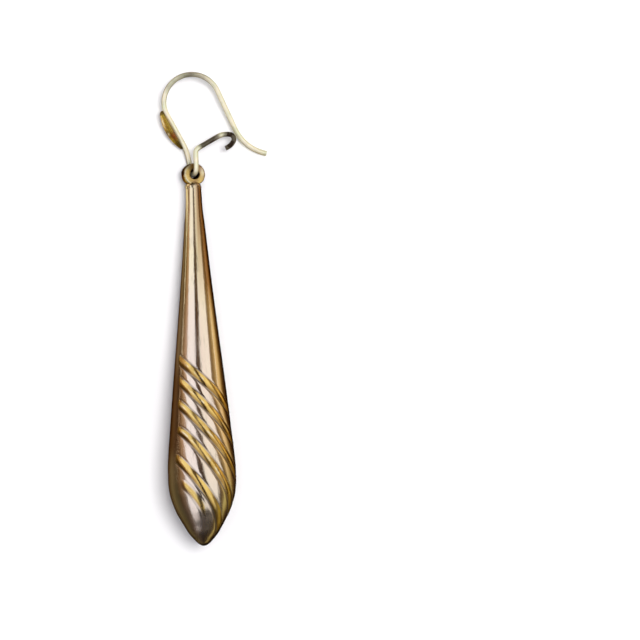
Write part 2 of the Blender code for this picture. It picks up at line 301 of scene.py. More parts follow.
dropGold = {
    "rose": (0.84, 0.62, 0.44),
    "belly": (0.86, 0.66, 0.45),
    "cone": (0.88, 0.68, 0.35),
    "coneReach": (-6.0, 12.0),
    "crest": (0.84, 0.53, 0.14),
    # brown patches, and painted shade on the ribs' lower sides
    "crestBrown": (0.42, 0.22, 0.05),
    "crestBand": (0.06, 0.32),  # where a rib's colour begins and is full
    "worn": (0.93, 0.79, 0.52),
    "wornBand": (0.86, 1.0),
    "patina": (0.10, 0.050, 0.018),
    "edge": (0.55, 0.40, 0.25),
    "film": (0.54, 0.43, 0.34),  # painted shade: darkens the cone's right side near the neck
    "filmAcross": (0.1, 0.5),
    "filmReach": (0.0, 12.0),
    # painted shade on the drop's flanks and tip
    "flank": (0.56, 0.42, 0.34),
    "shares": {"rose": 0.6, "streaks": 0.16, "shade": 0.7, "worn": 0.6},
    "patches": {"scale": 260, "band": (0.38, 0.64), "stretch": (1, 0.35, 1)},
    "streaks": {"scale": 1500, "band": (0.56, 0.72), "stretch": (1, 0.05, 1), "roughness": 0.6},
    "browns": {"scale": 520, "band": (0.44, 0.66), "levels": (0.0, 0.5)},
    "rub": {"scale": 700, "band": (0.48, 0.62), "detail": 3},
    "grime": {"scale": 900, "band": (0.35, 0.6), "levels": (0.75, 1.0), "detail": 5},
    "smudge": {
        "scale": 420, "band": (0.35, 0.7), "levels": (0.10, 0.22), "stretch": (1, 0.3, 1), "detail": 5,
    },
    "crestRoughness": 0.15,
    "recessRoughness": 0.25,  # added where the dirt and painted shade are
    "dullEnds": ((-23.0, -29.0, 0.08), (4.0, 14.0, 0.09)),  # from, to, roughness added
    "dents": {"scale": 620, "stretch": (1, 0.4, 1), "detail": 3},
    "bump": 0.007,
    "metal": 1.0,
}


def makeDropGold(look):
    material, nodes, links, shader = newMaterial("stampedRoseGold")
    shares = look["shares"]
    across, along = objectPlace(nodes, links)
    onCone = fadeOver(nodes, links, along, look["coneReach"])
    colour = mixColours(nodes, links, onCone, look["belly"], look["cone"])
    patches = cloudy(nodes, links, **look["patches"])
    colour = mixColours(nodes, links, times(nodes, links, patches, shares["rose"]), colour, look["rose"])
    # painted shade: the cone's right side near the neck, then the drop's flanks and tip, are multiplied
    # darker
    onRight = fadeOver(nodes, links, across, look["filmAcross"])
    film = times(nodes, links, onRight, fadeOver(nodes, links, along, look["filmReach"]))
    for mask, name in ((film, "film"), (attribute(nodes, "flank"), "flank")):
        darker = mixColours(nodes, links, 1.0, colour, look[name], "MULTIPLY")
        colour = mixColours(nodes, links, mask, colour, darker)
    streaks = cloudy(nodes, links, **look["streaks"])
    colour = mixColours(nodes, links, times(nodes, links, streaks, shares["streaks"]), colour, look["patina"])
    crest = attribute(nodes, "crest")
    crestMask = spread(nodes, links, crest, *look["crestBand"])
    browns = cloudy(nodes, links, **look["browns"])
    # random brown patches on the ribs, plus painted shade on each rib's lower side
    shade = attribute(nodes, "shade")
    browns = maths(nodes, links, "MULTIPLY_ADD", shade, shares["shade"], browns, clamp=True)
    crestColour = mixColours(nodes, links, browns, look["crest"], look["crestBrown"])
    colour = mixColours(nodes, links, crestMask, colour, crestColour)
    # wear and painted highlight on the tops of the ribs
    rub = cloudy(nodes, links, **look["rub"])
    worn = times(nodes, links, spread(nodes, links, crest, *look["wornBand"]), rub)
    colour = mixColours(nodes, links, times(nodes, links, worn, shares["worn"]), colour, look["worn"])
    # patina in the seam and in the grooves beside the ribs, with painted shade below each rib
    recess = times(nodes, links, attribute(nodes, "recess"), cloudy(nodes, links, **look["grime"]))
    colour = mixColours(nodes, links, recess, colour, look["patina"])
    smudge = cloudy(nodes, links, **look["smudge"])
    crestExtra = look["crestRoughness"] - look["smudge"]["levels"][0]
    rough = maths(nodes, links, "MULTIPLY_ADD", crestMask, crestExtra, smudge)
    rough = maths(nodes, links, "MULTIPLY_ADD", recess, look["recessRoughness"], rough)
    for low, high, extra in look["dullEnds"]:
        rough = maths(nodes, links, "ADD", rough, fadeOver(nodes, links, along, (low, high), extra))
    dents = maths(nodes, links, "ADD", noiseAt(nodes, links, **look["dents"]), streaks)
    finishGold(nodes, links, shader, look, colour, rough, dents)
    return material


wireGold = {
    "pale": (0.98, 0.86, 0.60),
    "green": (0.84, 0.80, 0.52),
    "side": (0.12, 0.11, 0.05),  # painted shade where the wire turns away from the view
    "sideBlend": 0.5,
    "sideBand": (0.25, 0.70),
    "sideShare": (0.36, 0.62),  # painted edge shade everywhere, and added where the painted outline is
    "dark": (0.03, 0.018, 0.01),
    "edge": (0.86, 0.78, 0.55),
    "patches": {"scale": 500, "band": (0.40, 0.62)},
    "grime": {"scale": 850, "band": (0.50, 0.68), "detail": 5},
    "grimeShare": 0.12,
    "broken": (0.65, 0.35),  # the stains everywhere, and added where there is grime
    "smudge": {"scale": 1400, "band": (0.35, 0.7), "levels": (0.30, 0.45)},
    "dents": {"scale": 900, "detail": 2},
    "bump": 0.008,
    "metal": 0.62,  # its skin has gone dull
    "specular": 0.15,
}


def makeWireGold(look):
    material, nodes, links, shader = newMaterial("paleWireGold")
    patches = cloudy(nodes, links, **look["patches"])
    colour = mixColours(nodes, links, patches, look["pale"], look["green"])
    grime = cloudy(nodes, links, **look["grime"])
    # painted shade: the wire darkens where its surface turns away from the view
    facing = nodes.new("ShaderNodeLayerWeight")
    facing.inputs["Blend"].default_value = look["sideBlend"]
    sides = spread(nodes, links, facing.outputs["Facing"], *look["sideBand"])
    least, more = look["sideShare"]
    share = maths(nodes, links, "MULTIPLY_ADD", attribute(nodes, "outlined"), more, least)
    colour = mixColours(nodes, links, times(nodes, links, sides, share), colour, look["side"])
    least, more = look["broken"]
    broken = maths(nodes, links, "MULTIPLY_ADD", grime, more, least)
    stain = times(nodes, links, attribute(nodes, "stain"), broken)
    stain = maths(nodes, links, "MAXIMUM", times(nodes, links, grime, look["grimeShare"]), stain)
    colour = mixColours(nodes, links, stain, colour, look["dark"])
    shader.inputs["Specular IOR Level"].default_value = look["specular"]
    rough = cloudy(nodes, links, **look["smudge"])
    finishGold(nodes, links, shader, look, colour, rough, noiseAt(nodes, links, **look["dents"]))
    return material


ringGold = {
    "yellow": (0.68, 0.43, 0.12),
    "brown": (0.30, 0.15, 0.06),
    # painted highlight colour for the rim's edge and the glint
    "bright": (0.92, 0.76, 0.44),
    # painted shade colour, also used for a stain and for dirt
    "soot": (0.05, 0.03, 0.015),
    "edge": (0.45, 0.32, 0.18),
    "patches": {"scale": 800, "band": (0.40, 0.66)},
    "smudge": {"scale": 1500, "band": (0.3, 0.7), "levels": (0.18, 0.38)},
    "dents": {"scale": 1500},
    "bump": 0.02,
    "metal": 1.0,
}


def makeRingGold(look):
    material, nodes, links, shader = newMaterial("oldYellowGold")
    patches = cloudy(nodes, links, **look["patches"])
    colour = mixColours(nodes, links, patches, look["yellow"], look["brown"])
    # painted highlight on the rim's edge and a glint on the front face
    colour = mixColours(nodes, links, attribute(nodes, "worn"), colour, look["bright"])
    # painted shade in the hole, on the outer left wall and the rim's edge, and a stain on top
    colour = mixColours(nodes, links, attribute(nodes, "recess"), colour, look["soot"])
    rough = cloudy(nodes, links, **look["smudge"])
    finishGold(nodes, links, shader, look, colour, rough, noiseAt(nodes, links, **look["dents"]))
    return material


leafGold = {
    "amber": (0.60, 0.42, 0.07),
    "red": (0.44, 0.13, 0.04),
    "tarnish": (0.10, 0.07, 0.03),
    # painted highlight colour for a streak and a spot near the ridge
    "rim": (0.95, 0.80, 0.52),
    # painted shade along the inside of the rim, and dirt in the veins
    "soot": (0.10, 0.06, 0.03),
    "edge": (0.55, 0.38, 0.18),
    "patches": {"scale": 700, "band": (0.42, 0.62), "levels": (0.0, 0.35)},
    "blotches": {"scale": 1100, "band": (0.40, 0.60), "levels": (0.75, 1.0)},
    "smudge": {"scale": 1500, "band": (0.3, 0.7), "levels": (0.16, 0.34)},
    "dents": {"scale": 1700},
    "bump": 0.02,
    "metal": 1.0,
}


def makeLeafGold(look):
    material, nodes, links, shader = newMaterial("amberLeafGold")
    patches = cloudy(nodes, links, **look["patches"])
    reds = maths(nodes, links, "MAXIMUM", patches, attribute(nodes, "redness"))
    colour = mixColours(nodes, links, reds, look["amber"], look["red"])
    tarnished = times(nodes, links, attribute(nodes, "tarnish"), cloudy(nodes, links, **look["blotches"]))
    colour = mixColours(nodes, links, tarnished, colour, look["tarnish"])
    # painted highlight: a pale streak and a spot near the ridge
    colour = mixColours(nodes, links, attribute(nodes, "rubbed"), colour, look["rim"])
    # painted shade along the inside of the rim, and dirt in the engraved veins
    colour = mixColours(nodes, links, attribute(nodes, "recess"), colour, look["soot"])
    rough = cloudy(nodes, links, **look["smudge"])
    finishGold(nodes, links, shader, look, colour, rough, noiseAt(nodes, links, **look["dents"]))
    return material


stampedRoseGold = makeDropGold(dropGold)
paleWireGold = makeWireGold(wireGold)
oldYellowGold = makeRingGold(ringGold)
amberLeafGold = makeLeafGold(leafGold)
print("materials ready")


# Drop: an outline spun about its axis, with ribs raised on it.
# Lengths are in millimetres, and its top is the ring's centre.

drop = {
    "neckPlace": 1.23,  # neck's top below the ring's centre
    "length": 51.0,
    "belly": 4.78,
    "outline": (  # share of the length, share of the belly's radius
        (0.000, 0.000), (0.002, 0.110), (0.006, 0.190), (0.013, 0.226), (0.022, 0.232), (0.044, 0.238),
        (0.066, 0.250), (0.110, 0.297), (0.241, 0.424), (0.416, 0.612), (0.504, 0.712), (0.592, 0.808),
        (0.679, 0.898), (0.745, 0.967), (0.789, 0.997), (0.822, 0.997), (0.855, 0.962), (0.877, 0.898),
        (0.899, 0.810), (0.921, 0.692), (0.943, 0.564), (0.965, 0.430), (0.984, 0.262), (0.996, 0.120),
        (1.000, 0.000),
    ),
    "ribs": (  # from turn, to turn, start, end, slant in, slant out, height
        (11, 158, 0.486, 0.643, 0.63, 1.10, 1.0),
        (18, 158, 0.546, 0.730, 0.63, 1.07, 1.0),
        (18, 158, 0.609, 0.824, 0.49, 1.09, 1.0),
        (20, 158, 0.682, 0.918, 0.23, 0.85, 1.0),
        (18, 138, 0.758, 0.954, 0.43, 0.45, 0.9),
        (30, 78, 0.828, 0.914, 0.30, 1.26, 0.4),
    ),
    "ribHeight": 0.07,  # over the plain outline
    "ribUpper": 0.58,
    "ribLower": 0.58,
    "ribReach": 0.07,  # a rib ends within this share of the length from its crest
    "ribShade": (-0.02, 0.36),  # painted shade: a rib darkens from here on its lower side, over this width
    "ribFade": 9.0,  # degrees
    "panelFade": 26.0,
    "ribStart": 0.12,  # extra height of a rib where its panels haven't sunk yet
    "panelDepth": 0.22,  # the panels sink this far where they meet their ribs
    "panelFlatness": 2.5,
    "grooveDepth": 0.05,
    "lowerGroove": {"beyond": 0.04, "width": 0.13, "share": 1.0},  # how far beyond the rib's foot
    "upperGroove": {"beyond": 0.03, "width": 0.09, "share": 0.7},
    "seam": {"share": 0.5, "width": 0.02},
    "reliefRoom": 0.34,
    "reliefSpan": 0.60,
    "reliefRamps": (0.035, 0.045),
    # painted shade: the left flank low on the belly, the right flank near the neck, and the tip
    "leftFlank": {"turn": (-34, -14), "start": (0.46, 0.10), "end": (0.80, -0.08)},  # ramps: start, width
    "rightFlank": {"turn": (30, 14), "end": (0.40, -0.14)},
    "tipShade": {"share": 0.35, "start": (0.87, 0.07)},
    "sides": 216,
    "rows": {  # from, to, how many
        "neck": (0.0, 0.04, 12), "cone": (0.04, 0.44, 88),
        "ribs": (0.44, 0.972, 312), "tip": (0.972, 1.0, 20),
    },
    "crowding": {"neck": 2, "tip": 1.8},  # rows stand closer towards both ends
}


def outlineSlopes(outline):
    runs = [(far[1] - near[1]) / (far[0] - near[0]) for near, far in zip(outline, outline[1:])]
    slopes = [2 * runs[0]]
    for left, right in zip(runs, runs[1:]):
        slopes.append(2 * left * right / (left + right) if left * right > 0 else 0.0)
    return slopes + [2 * runs[-1]]


outlineSlope = outlineSlopes(drop["outline"])


def outlineRadius(place):
    outline = drop["outline"]
    i = 0
    while i < len(outline) - 2 and outline[i + 1][0] < place:
        i += 1
    (near, nearRadius), (far, farRadius) = outline[i], outline[i + 1]
    span = far - near
    slopeIn, slopeOut = outlineSlope[i] * span, outlineSlope[i + 1] * span
    return drop["belly"] * hermite((place - near) / span, nearRadius, farRadius, slopeIn, slopeOut)


def ribsAt(turn, place):
    # at one spot: height over the plain outline, how much of a rib it is, its painted shade on the rib's
    # lower side, and the patina and painted shade beside it
    halfTurn = (turn + 90.0) % 180.0
    radius = outlineRadius(place)
    shownRibs = []
    for rib in drop["ribs"]:
        fromTurn, toTurn, start, end, slantIn, slantOut, top = rib
        span = toTurn - fromTurn
        share = (halfTurn - fromTurn) / span
        if 0.0 < share < 1.0:
            run = end - start
            crest = hermite(share, start, end, slantIn * run, slantOut * run)
            nextCrest = hermite(share + 1 / span, start, end, slantIn * run, slantOut * run)
            rise = (nextCrest - crest) * drop["length"]
            fromEnd = min(share, 1.0 - share) * span
            shown = smoothStep(fromEnd / drop["ribFade"])
            sunk = smoothStep(fromEnd / drop["panelFade"]) * top
            extra = drop["ribStart"] * smoothStep(1 - share * span / drop["panelFade"])
            shownRibs.append((crest, rise, shown, top, sunk, extra))
    panel = 0.0
    for upper, lower in zip(shownRibs, shownRibs[1:]):
        if upper[0] < place < lower[0]:
            fromMiddle = abs(2 * (place - upper[0]) / (lower[0] - upper[0]) - 1)
            panel = -drop["panelDepth"] * fromMiddle ** drop["panelFlatness"] * min(upper[4], lower[4])
    height, crestShare, shade, groove = panel, 0.0, 0.0, 0.0
    for crest, rise, shown, top, sunk, extra in shownRibs:
        if abs(place - crest) > drop["ribReach"]:
            continue
        across = radius * math.radians(1.0)
        offset = (place - crest) * drop["length"] * across / math.hypot(across, rise)
        width = drop["ribLower"] if offset > 0 else drop["ribUpper"]
        if abs(offset) < width:
            bulge = math.cos(0.5 * math.pi * offset / width)
            ribTop = (drop["ribHeight"] + extra) * top * shown
            height = max(height, panel + (ribTop - panel) * bulge)
            if bulge * shown * top > crestShare:
                crestShare = bulge * shown * top
                shade = ramp(offset, *drop["ribShade"])
        # the grooves beside the rib are darkened: patina, with painted shade, stronger below the rib
        low, high = drop["lowerGroove"], drop["upperGroove"]
        dirt = low["share"] * bell(offset, drop["ribLower"] + low["beyond"], low["width"])
        dirt = max(dirt, high["share"] * bell(offset, -drop["ribUpper"] - high["beyond"], high["width"]))
        groove = max(groove, top * dirt * shown)
    return height - drop["grooveDepth"] * groove, crestShare, shade, groove


def baseSink(place):
    # the spun body starts this much thinner along the ribs, and all relief is raised from there
    start, end = drop["rows"]["ribs"][:2]
    first, last = drop["reliefRamps"]
    return drop["reliefRoom"] * ramp(place, start, first) * ramp(place, end, -last)


def makeDrop():
    points = [(0, -drop["neckPlace"] * mm, 0)]
    for start, end, count in drop["rows"].values():
        for i in range(1, count + 1):
            place = start + (end - start) * i / count
            if start == 0.0:
                place = end * (i / count) ** drop["crowding"]["neck"]
            if end == 1.0:
                place = 1.0 - (1.0 - start) * (1.0 - i / count) ** drop["crowding"]["tip"]
            radius = outlineRadius(place) - baseSink(place)
            points.append((radius * mm, -(drop["neckPlace"] + place * drop["length"]) * mm, 0))
    piece = vertexPath("torpedoDrop", points)
    editAll(piece)
    bpy.ops.mesh.spin(steps=drop["sides"], angle=2 * math.pi, center=(0, 0, 0), axis=(0, 1, 0))
    bpy.ops.mesh.select_all(action="SELECT")
    bpy.ops.mesh.remove_doubles(threshold=weldGap)
    bpy.ops.mesh.normals_make_consistent(inside=False)
    bpy.ops.object.mode_set(mode="OBJECT")

    raised = piece.vertex_groups.new(name="raised")
    crests, shades, recesses, flanks = [], [], [], []
    start, end = drop["rows"]["ribs"][:2]
    left, right, tip = drop["leftFlank"], drop["rightFlank"], drop["tipShade"]
    for vertex in piece.data.vertices:
        place = (-vertex.co.y / mm - drop["neckPlace"]) / drop["length"]
        turn = math.degrees(math.atan2(vertex.co.x, vertex.co.z))
        seam = drop["seam"]["share"] * bell(math.cos(math.radians(turn)), 0.0, drop["seam"]["width"])
        crest = shade = groove = 0.0
        if start < place < end:
            height, crest, shade, groove = ribsAt(turn, place)
            raised.add([vertex.index], (baseSink(place) + height) / drop["reliefSpan"], "REPLACE")
        crests.append(crest)
        shades.append(shade)
        recesses.append(min(1.0, max(seam, groove)))
        # painted shade: the left flank low on the belly, the right flank near the neck and the tip are
        # darkened
        fromTop = turn + lie["roll"]
        leftFlank = ramp(fromTop, *left["turn"]) * ramp(place, *left["start"]) * ramp(place, *left["end"])
        rightFlank = ramp(fromTop, *right["turn"]) * ramp(place, *right["end"])
        flanks.append(max(leftFlank, rightFlank, tip["share"] * ramp(place, *tip["start"])))
    paintPoints(piece, crest=crests, shade=shades, recess=recesses, flank=flanks)
    addModifier(piece, "DISPLACE", vertex_group="raised", mid_level=0.0, strength=drop["reliefSpan"] * mm)
    piece.matrix_world = dropPose
    finishPiece(piece, stampedRoseGold, 60)
    return piece


torpedoDrop = makeDrop()


# Ring: a short cylinder with a hole through it, its edges rounded

ring = {
    "radius": 1.58, "hole": 0.65, "thickness": 1.40, "edge": 0.18, "edgeSteps": 4, "sides": 72,
    "backFill": {"share": 0.36, "depth": 0.6, "reach": 0.05},  # the hole narrows towards its back
    "dents": (0.9, 0.09),  # size, height
    "front": 0.3,  # painted highlight only above this height
    "rimWear": {"share": 0.85, "inside": 0.12, "width": 0.12, "angle": 150, "spread": 50},
    "glint": {"share": 0.7, "angle": 12, "spread": 30, "radius": 1.25, "width": 0.35},
    "topStain": {"share": 0.72, "angle": 122, "spread": 34},
    "leftWall": {"share": 0.9, "angle": 180, "spread": 55, "start": (0.52, -0.12)},
    "rimDirt": {"share": 0.65, "inside": 0.12, "width": 0.10, "cleanAngle": -160, "cleanSpread": 60},
    "holeDirt": {"share": 0.9, "width": 0.2},
}


def makeRing():
    deselectAll()
    bpy.ops.mesh.primitive_cylinder_add(
        vertices=ring["sides"], radius=ring["radius"] * mm, depth=ring["thickness"] * mm
    )
    piece = startPiece("hangingRing")
    body = editMesh(piece)
    bpy.ops.mesh.select_all(action="DESELECT")
    for face in body.faces:
        face.select = abs(face.normal.z) > 0.9
    bmesh.update_edit_mesh(piece.data)
    bpy.ops.mesh.inset(thickness=(ring["radius"] - ring["hole"]) * mm)
    bpy.ops.mesh.bridge_edge_loops()
    bpy.ops.mesh.select_mode(type="EDGE")
    bpy.ops.mesh.select_all(action="DESELECT")
    body = bmesh.from_edit_mesh(piece.data)
    nearly = 0.01 * mm
    for edge in body.edges:
        ends = [v.co for v in edge.verts]
        radii = [math.hypot(c.x, c.y) for c in ends]
        edge.select = abs(ends[0].z - ends[1].z) < nearly and abs(radii[0] - radii[1]) < nearly
    bmesh.update_edit_mesh(piece.data)
    bpy.ops.mesh.bevel(offset=ring["edge"] * mm, segments=ring["edgeSteps"], profile=0.5)
    bpy.ops.mesh.select_mode(type="VERT")
    bpy.ops.mesh.select_all(action="SELECT")
    bpy.ops.mesh.quads_convert_to_tris()
    bpy.ops.mesh.tris_convert_to_quads()
    bpy.ops.object.mode_set(mode="OBJECT")
    addModifier(piece, "SUBSURF", levels=1, render_levels=1)
    fill = ring["backFill"]
    for vertex in piece.data.vertices:
        radius = math.hypot(vertex.co.x, vertex.co.y) / mm
        if radius < ring["hole"] + fill["reach"] and vertex.co.z < 0:
            narrowed = 1 - fill["share"] * smoothStep(-vertex.co.z / mm / fill["depth"])
            vertex.co.x *= narrowed
            vertex.co.y *= narrowed
    wear, glint, stain = ring["rimWear"], ring["glint"], ring["topStain"]
    wall, rim, hole = ring["leftWall"], ring["rimDirt"], ring["holeDirt"]
    worn, recess = [], []
    for vertex in piece.data.vertices:
        radius = math.hypot(vertex.co.x, vertex.co.y) / mm
        around = math.degrees(math.atan2(vertex.co.y, vertex.co.x))
        # painted highlight: a pale line along one side of the rim's front edge, and a glint on the front face
        rimWorn = bell(radius, ring["radius"] - wear["inside"], wear["width"])
        rimWorn *= wear["share"] * bell(abs(around), wear["angle"], wear["spread"])
        bright = glint["share"] * bell(around, glint["angle"], glint["spread"])
        bright *= bell(radius, glint["radius"], glint["width"])
        worn.append(min(1.0, max(rimWorn, bright)) * (vertex.co.z > ring["front"] * mm))
        # painted shade: darkens the hole, the outer left wall and the rim's edge; the top has a stain
        topStain = stain["share"] * bell(around, stain["angle"], stain["spread"])
        leftWall = wall["share"] * bell(abs(around), wall["angle"], wall["spread"])
        leftWall *= ramp(vertex.co.z / mm, *wall["start"])
        rimDirt = rim["share"] * ramp(radius, ring["radius"] - rim["inside"], rim["width"])
        rimDirt *= abs(around - rim["cleanAngle"]) > rim["cleanSpread"]
        holeDirt = hole["share"] * ramp(radius, ring["hole"] + hole["width"], -hole["width"])
        recess.append(max(holeDirt, topStain, leftWall, rimDirt))
    paintPoints(piece, worn=worn, recess=recess)
    addDents(piece, "ringDents", *ring["dents"])
    piece.matrix_world = dropPose
    finishPiece(piece, oldYellowGold, 50)


makeRing()


# Solder between ring and neck

solder = {
    "place": 1.78, "size": (1.14, 0.82, 1.09), "shift": -0.03, "sides": 64, "rows": 40, "dents": (0.7, 0.14),
}


def makeSolder():
    deselectAll()
    bpy.ops.mesh.primitive_uv_sphere_add(segments=solder["sides"], ring_count=solder["rows"], radius=mm)
    piece = startPiece("neckSolder")
    editAll(piece)
    bpy.ops.transform.resize(value=solder["size"])
    bpy.ops.transform.translate(value=(solder["shift"] * mm, -solder["place"] * mm, 0))
    bpy.ops.object.mode_set(mode="OBJECT")
    paintPoints(piece, crest=0.0, recess=0.0, flank=0.0)
    addDents(piece, "solderLumps", *solder["dents"])
    piece.matrix_world = dropPose
    finishPiece(piece, stampedRoseGold, 60)


makeSolder()
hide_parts("drop")


# Ear wire: the path bent from straight runs and arcs, as the real wire is

wire = {
    "diameter": 0.70,
    "linkGap": 0.30,
    # straight run, radius, turn
    "hookBends": ((0.0, 7.60, 27.1), (4.50, 3.60, -25.4), (0.0, 3.95, -158.8), (5.80, 6.20, 54.4)),
    "catchBends": ((1.80, 0.80, -61.3), (3.10, 2.55, -40.1), (0.0, 0.68, -110.8), (0.0, 2.10, -39.8)),
    "catchHeight": 1.30,  # catch above the back leg, centre to centre
    "bendStep": 4.0,  # degrees
    "straightStep": 0.3,
    "roundSteps": 10,
    "linkSquareness": 2.6,
    "leafWidth": 2.40,
    "leafSink": 0.12,
    "dents": (1.1, 0.03),  # size, height
    # shares of the hook or of the catch: start and width of a ramp
    "outlined": {"start": (0.28, 0.05), "end": (0.64, -0.08)},
    "arcStain": {"share": 0.85, "reach": 2.6},
    "legStain": {"share": 0.4, "start": (0.33, 0.06), "end": (0.58, -0.10)},
    "catchPale": {"share": 0.9, "middle": 0.61, "width": 0.05},
    "catchStain": {"share": 1.4, "start": (0.25, 0.07), "near": 0.5},
}


def bendPath(start, bends):
    x, y, run = start[0], start[1], 0.0
    angle = math.radians(90)
    points = [(x, y, run)]
    for straight, radius, turn in bends:
        parts = math.ceil(straight / wire["straightStep"])
        for _ in range(parts):
            x += math.cos(angle) * straight / parts
            y += math.sin(angle) * straight / parts
            run += straight / parts
            points.append((x, y, run))
        steps = max(2, round(abs(turn) / wire["bendStep"]))
        step = math.radians(turn) / steps
        chord = 2 * radius * math.sin(abs(step) / 2)
        for _ in range(steps):
            angle += step / 2
            x += math.cos(angle) * chord
            y += math.sin(angle) * chord
            angle += step / 2
            run += abs(step) * radius
            points.append((x, y, run))
    return points


def linkPoints():
    # round the ring's upper limb, from behind it to its front
    squareness = 2 / wire["linkSquareness"]
    hole = wire["diameter"] / 2 + wire["linkGap"]
    limb = (ring["radius"] + hole) / 2
    reach = ring["thickness"] / 2 + hole
    steps = round(180 / wire["bendStep"])
    points = []
    for i in range(steps + 1):
        angle = math.pi * i / steps
        inwards = math.sin(angle) ** squareness if 0 < i < steps else 0.0
        forwards = -math.copysign(abs(math.cos(angle)) ** squareness, math.cos(angle))
        points.append(dropPose @ (Vector((0, limb * (1 - inwards), reach * forwards)) * mm) / mm)
    return points


def wirePath():
    link = linkPoints()
    foot, head = link[0], link[-1]
    thick = wire["diameter"] / 2
    flat = bendPath(foot, wire["hookBends"])
    leg = bendPath(foot, wire["hookBends"][:1])[-1]
    angle = math.radians(90 + wire["hookBends"][0][2])
    along = Vector((math.cos(angle), math.sin(angle), 0))
    outer = Vector((-along.y, along.x, 0))
    middle = Vector((leg[0], leg[1], 0)) + along * wire["hookBends"][1][0] / 2
    leaf = middle + outer * (thick - wire["leafSink"])
    tail = flat[-1]
    dx1, dy1, dz1 = leaf.x - foot.x, leaf.y - foot.y, wire["leafWidth"] / 2 - foot.z
    dx2, dy2, dz2 = tail[0] - foot.x, tail[1] - foot.y, thick - foot.z
    area = dx1 * dy2 - dx2 * dy1
    slopeX, slopeY = (dz1 * dy2 - dz2 * dy1) / area, (dx1 * dz2 - dx2 * dz1) / area

    def lifted(x, y):
        return Vector((x, y, foot.z + slopeX * (x - foot.x) + slopeY * (y - foot.y)))

    hook = [lifted(x, y) for x, y, _ in flat]
    catchFlat = bendPath(head, wire["catchBends"])
    end = catchFlat[-1]
    nearest = min(hook, key=lambda p: math.hypot(p.x - end[0], p.y - end[1]))
    top = nearest.z + wire["catchHeight"]
    catch = [Vector((x, y, head.z + (top - head.z) * smoothStep(run / end[2]))) for x, y, run in catchFlat]
    along.z = slopeX * along.x + slopeY * along.y
    outer.z = slopeX * outer.x + slopeY * outer.y
    legFrame = (lifted(middle.x, middle.y), along.normalized(), outer.normalized())
    return hook, link, catch, legFrame


hookPoints, linkPath, catchPoints, legFrame = wirePath()


def shareAlong(path, at):
    # how far along a path its nearest spot lies, and how far away that is
    best, run = (0.0, 1e9), 0.0
    for near, far in zip(path, path[1:]):
        side = far - near
        t = min(1.0, max(0.0, (at - near).dot(side) / side.length_squared))
        away = (near + side * t - at).length
        if away < best[1]:
            best = (run + side.length * t, away)
        run += side.length
    return best[0] / run, best[1]


def makeWire():
    points = [p * mm for p in [*reversed(hookPoints), *linkPath[1:-1], *catchPoints]]
    piece = vertexPath("earWire", points)
    pick(piece)
    bpy.ops.object.convert(target="CURVE")
    piece = bpy.context.object
    piece.data.bevel_depth = wire["diameter"] / 2 * mm
    piece.data.bevel_resolution = wire["roundSteps"]
    piece.data.use_fill_caps = True
    bpy.ops.object.convert(target="MESH")
    piece = bpy.context.object
    editAll(piece)
    bpy.ops.mesh.remove_doubles(threshold=weldGap)
    bpy.ops.object.mode_set(mode="OBJECT")
    addDents(piece, "wireDents", *wire["dents"])
    arcTop = max(hookPoints, key=lambda p: p.y)
    arc, leg, pale, catch = wire["arcStain"], wire["legStain"], wire["catchPale"], wire["catchStain"]
    stains, outlined = [], []
    for vertex in piece.data.vertices:
        at = vertex.co / mm
        share, _ = shareAlong(hookPoints, at)
        # the part of the hook that gets a stronger painted dark outline
        outlined.append(ramp(share, *wire["outlined"]["start"]) * ramp(share, *wire["outlined"]["end"]))
        onArc = arc["share"] * bell(math.hypot(at.x - arcTop.x, at.y - arcTop.y), 0.0, arc["reach"])
        onLeg = leg["share"] * ramp(share, *leg["start"]) * ramp(share, *leg["end"])
        share, away = shareAlong(catchPoints, at)
        onCatch = 0.0
        if away < catch["near"]:
            onCatch = catch["share"] * ramp(share, *catch["start"])
            onCatch *= 1 - pale["share"] * bell(share, pale["middle"], pale["width"])
        stains.append(max(onArc, onLeg, onCatch))
    paintPoints(piece, stain=stains, outlined=outlined)
    finishPiece(piece, paleWireGold, 60)
    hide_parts("ear_wire")


makeWire()


# Leaf plate on the front leg

leaf = {
    "length": 5.90, "width": 2.40, "depth": 1.15, "edge": 0.14, "sheet": 0.16, "stations": 44, "across": 22,
    "span": (0.05, 0.88),  # the part of a swelling curve that its outline follows
    "swell": 0.8,
    "archPower": 1.35,
    "ridge": 0.14,
    "rim": {"height": 0.10, "across": 0.88, "width": 0.08},
    "veins": {"depth": 0.05, "count": 7, "slant": 1.4, "power": 6, "fromRidge": 0.06},
    "veinDirt": 8,
    # painted shade along the inside of the raised rim
    "rimDirt": {"share": 0.8, "across": 0.72, "width": 0.08},
    "patch": {"along": (0.50, 0.13), "across": (0.55, -0.15)},
    "endTarnish": {"share": 0.9, "foot": (0.30, -0.12), "top": (0.93, 0.05)},
    "redBand": {"along": (0.38, 0.12), "across": (0.35, 0.2)},
    # painted highlights: a pale streak towards the top and a spot in the middle, near the ridge
    "streak": {"share": 1.0, "along": (0.79, 0.13), "across": (0.30, 0.13)},
    "spot": {"share": 0.8, "along": (0.47, 0.04), "across": (0.32, 0.12)},
}
bead = {"radius": 0.34, "sides": 32, "rows": 20, "stretch": (0.9, 1.15, 1.0), "inwards": 0.15, "height": 0.30}


